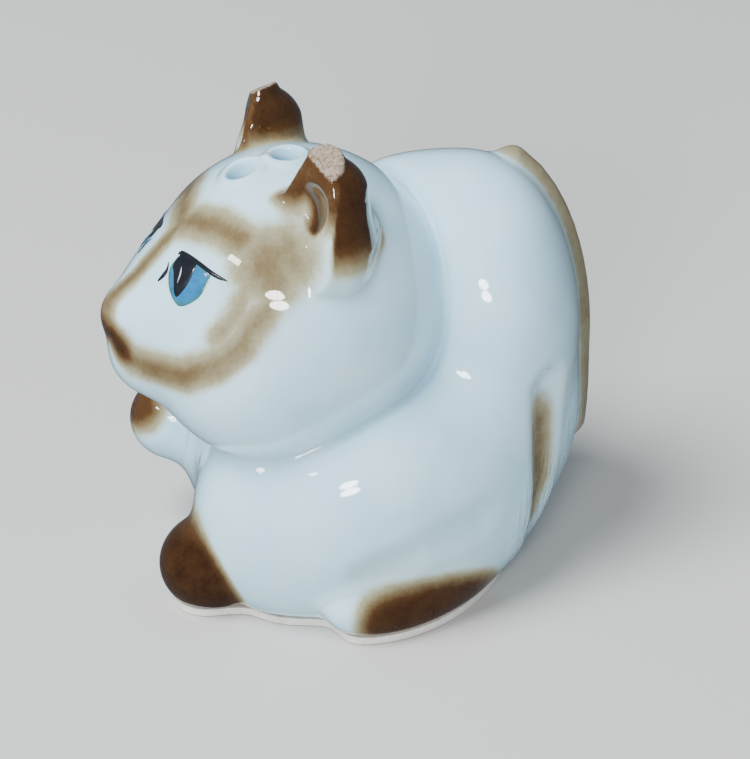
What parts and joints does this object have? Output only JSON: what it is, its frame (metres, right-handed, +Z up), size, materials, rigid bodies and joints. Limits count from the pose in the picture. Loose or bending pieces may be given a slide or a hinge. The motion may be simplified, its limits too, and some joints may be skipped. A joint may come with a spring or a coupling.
{
  "type": "cat figurine shaker",
  "caption": "Hollow glazed porcelain kitten, crouching with turned head, pierced crown and a soft plug in its flat foot.",
  "frame": {"origin": "middle of the flat unglazed foot, on the table", "axes": "+Z up, the kitten's body faces -Y, +X is the kitten's left side"},
  "size_m": [0.041, 0.0545, 0.0538],
  "materials": {
    "white_glaze": "gloss",
    "point_glaze": "gloss",
    "bisque": "matte, unglazed",
    "stopper_rubber": "matte"
  },
  "bodies": {
    "figurine": {"head_shell": "white_glaze", "body_shell": "white_glaze", "left_ear": "point_glaze", "right_ear": "point_glaze", "left_front_paw": "point_glaze", "right_foreleg": "point_glaze", "left_hind_foot": "point_glaze", "right_hind_foot": "point_glaze", "tail": "point_glaze", "foot_plate": "bisque"},
    "stopper": {"stopper": "stopper_rubber"}
  },
  "joints": [
    {"name": "stopper_pull", "type": "slide", "parent": "figurine", "child": "stopper", "axis": [0, 0, -1], "range_m": [0, 0.012]}
  ]
}
